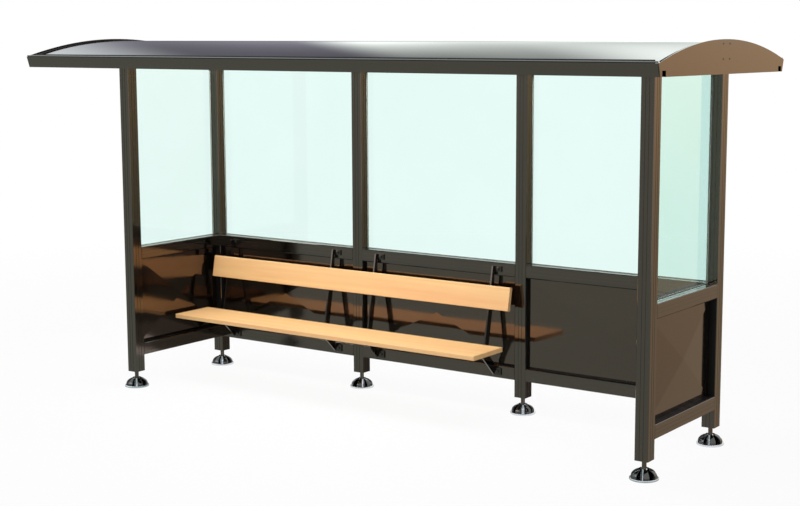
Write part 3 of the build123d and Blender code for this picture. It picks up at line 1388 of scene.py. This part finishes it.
CARDS = (
    FoldedCard(
        name="grey_card",
        fold=(-5.0, -11.0),
        width=26.0,
        reach=11.5,
        height=2.5,
        near=(0.41, 0.50, 0.48),
        turn=(0.44, 0.54, 0.515),
        top=(0.45, 0.55, 0.525),
        behind_glass=1.0,
    ),
    FoldedCard(
        name="warm_card",
        fold=(9.0, 12.0),
        width=14.0,
        reach=-13.0,
        height=2.4,
        near=(0.53, 0.43, 0.31),
        turn=(0.68, 0.53, 0.35),
        top=(1.27, 0.91, 0.55),
        behind_glass=0.62,
    ),
    FoldedCard(
        name="ground_card",
        fold=(-5.0, 12.0),
        width=14.0,
        reach=-11.3,
        height=0.3,
        near=DIM,
        turn=DIM,
        top=DIM,
    ),
    RoundCard(
        name="strip_card",
        heights=(2.5, 8.3, 12.0),
        rows=(0, 1, 3),
        stops=(Stop(115.0, WHITE), Stop(126.0, BRIGHT), Stop(157.0, BRIGHT), Stop(174.0, WHITE)),
    ),
    RoundCard(
        name="back_card",
        heights=(0.02, 2.4, 4.2, 11.0, 19.0),
        rows=(0, 0, 1, 2, 3),
        stops=(
            Stop(-8.0, WHITE),
            Stop(9.0, PALE, (1.2, 1.3, 1.6)),
            Stop(21.0, PALE, (1.7, 0.85, 3.2)),
            Stop(30.5, PALE, (0.5, 1.15, 0.62)),
            Stop(38.0, PALE, (0.2, 1.65, 0.12)),
            Stop(43.0, VIOLET, (0.17, 0.36, 0.15)),
            Stop(51.5, VIOLET, (0.15, 0.25, 0.25)),
            Stop(61.0, CLEAR, (0.3, 1.15, 1.8)),
            Stop(78.0, WHITE),
        ),
    ),
)

LAMPS = (
    Lamp("key", (7.0, 4.0), 188.0, place=Vector((0.8, -6.2, 6.4)), aim=Vector((-0.4, 0.3, 0.6))),
    Lamp("fill", (3.6, 0.7), 38.0, place=Vector((-0.6, 0.25, 2.1)), aim=Vector((-0.6, 0.25, 0.45))),
)


@dataclass
class Studio:
    """Pale floor, soft light, reflection cards and the camera."""

    camera_place: Vector = field(default_factory=lambda: Vector((5.369, -7.139, 2.326)))
    camera_azimuth: float = 34.37
    camera_elevation: float = 8.05
    camera_sight: float = 200.0
    lens: float = 66.89
    sensor: float = 36.0
    optical_centre: tuple[float, float] = (446.5, 248.6)
    floor_radius: float = 30.0
    floor_steps: int = 96
    floor_paint: Colour = (0.92, 0.92, 0.92)
    floor_white: float = 0.93
    shadow_reach: float = 3.0
    white_reach: float = 9.0
    ambient: float = 0.50
    first_bounce: float = 0.5

    def build(self) -> None:
        """Set up the view, the light and the surroundings."""
        bpy.context.scene.view_settings.view_transform = "Standard"
        self.add_camera()
        self.add_floor()
        self.add_world()
        for lamp in LAMPS:
            lamp.hang()
        for card in CARDS:
            self.add_card(card)

    def add_camera(self) -> None:
        """Put the camera at the photograph's place."""
        azimuth, elevation = math.radians(self.camera_azimuth), math.radians(self.camera_elevation)
        back = Vector((math.sin(azimuth), -math.cos(azimuth), math.tan(elevation))).normalized()
        right = Vector(UPRIGHT).cross(back).normalized()
        data = bpy.data.cameras.new("camera")
        data.sensor_fit = "HORIZONTAL"
        data.sensor_width = self.sensor
        data.lens = self.lens
        data.shift_x = (IMAGE_WIDTH / 2 - self.optical_centre[0]) / IMAGE_WIDTH
        data.shift_y = (self.optical_centre[1] - IMAGE_HEIGHT / 2) / IMAGE_WIDTH
        data.clip_end = self.camera_sight
        camera = bpy.data.objects.new("camera", data)
        turn = Matrix((right, back.cross(right), back)).transposed().to_4x4()
        camera.matrix_world = Matrix.Translation(self.camera_place) @ turn
        bpy.context.scene.collection.objects.link(camera)
        bpy.context.scene.camera = camera

    @staticmethod
    def seen(wiring: Wiring) -> Socket:
        """Mask the rays that show the background: from the camera, a gloss or through glass.

        Args:
            wiring: Wiring of the shader that needs the mask.

        Returns:
            The mask.
        """
        path = wiring.add("ShaderNodeLightPath").outputs
        return wiring.sum(
            wiring.sum(path["Is Camera Ray"], path["Is Glossy Ray"]), path["Is Transmission Ray"]
        )

    @staticmethod
    def stage(name: str, mesh: Mesh, finish: str) -> tuple[Thing, Wiring]:
        """Put a mesh on the stage, with a bare material of its own.

        Args:
            name: Name of the object.
            mesh: The mesh.
            finish: Name of the material.

        Returns:
            The object and the wiring of its material.
        """
        material = bpy.data.materials.new(finish)
        material.use_nodes = True
        material.node_tree.nodes.clear()
        mesh.materials.append(material)
        thing = bpy.data.objects.new(name, mesh)
        bpy.context.scene.collection.objects.link(thing)
        return thing, Wiring(material.node_tree)

    def add_floor(self) -> None:
        """Lay the pale round floor that keeps the shelter's shadow."""
        shape = bmesh.new()
        bmesh.ops.create_circle(shape, cap_ends=True, radius=self.floor_radius, segments=self.floor_steps)
        wiring = self.stage("floor", mesh_of("floor", shape), "pale_floor")[1]
        place = wiring.add("ShaderNodeTexCoord").outputs["Object"]
        far = wiring.add("ShaderNodeVectorMath", {0: place}, operation="LENGTH").outputs["Value"]
        fade = wiring.spread(far, self.shadow_reach, self.white_reach, to_min=self.floor_white)
        share = wiring.reckon("MULTIPLY", self.seen(wiring), fade)
        paint = wiring.add("ShaderNodeBsdfDiffuse", {"Color": (*self.floor_paint, 1.0)}).outputs[0]
        white = wiring.add("ShaderNodeEmission", {"Strength": 1.0}).outputs[0]
        blend = wiring.add("ShaderNodeMixShader", {"Fac": share, 1: paint, 2: white}).outputs[0]
        wiring.add("ShaderNodeOutputMaterial", {"Surface": blend})

    def add_world(self) -> None:
        """Make the white background, with a softer level of light for dull surfaces."""
        world = bpy.data.worlds.new("studio")
        world.use_nodes = True
        bpy.context.scene.world = world
        wiring = Wiring(world.node_tree)
        background = next(node for node in world.node_tree.nodes if node.type == "BACKGROUND")
        wiring.fill(background.inputs["Color"], (*WHITE, 1.0))
        level = wiring.spread(self.seen(wiring), 0.0, 1.0, to_min=self.ambient)
        wiring.fill(background.inputs["Strength"], level)

    def add_card(self, card: FoldedCard | RoundCard) -> None:
        """Put a card on the stage, where only glossy surfaces show it.

        Args:
            card: The card.
        """
        thing, wiring = self.stage(card.name, mesh_of(card.name, card.shape()), card.name)
        colour = wiring.add("ShaderNodeAttribute", attribute_name=GLOW_LAYER).outputs["Color"]
        glow = wiring.add("ShaderNodeEmission", {"Color": colour, "Strength": 1.0})
        light = glow.outputs[0]
        if card.behind_glass is not None:
            path = wiring.add("ShaderNodeLightPath").outputs
            level = wiring.spread(path["Is Transmission Ray"], 0.0, 1.0, to_min=1.0, to_max=card.behind_glass)
            wiring.fill(glow.inputs["Strength"], level)
            plain = wiring.reckon("LESS_THAN", path["Glossy Depth"], self.first_bounce)
            clear = wiring.add("ShaderNodeBsdfTransparent").outputs[0]
            light = wiring.add("ShaderNodeMixShader", {"Fac": plain, 1: light, 2: clear}).outputs[0]
        wiring.add("ShaderNodeOutputMaterial", {"Surface": light})
        thing.visible_camera = False
        thing.visible_diffuse = False
        thing.visible_transmission = card.behind_glass is not None
        thing.visible_volume_scatter = False
        thing.visible_shadow = False


def main() -> None:
    """Build the shelter's looks in order."""
    logging.basicConfig(level=logging.INFO, format="%(name)s: %(message)s")
    finishes = Finishes(Effects())
    for assembly in (FrameWork, Walls, Roof, Bench, Feet):
        assembly(finishes).build()
    Studio().build()


if __name__ == "__main__":
    main()
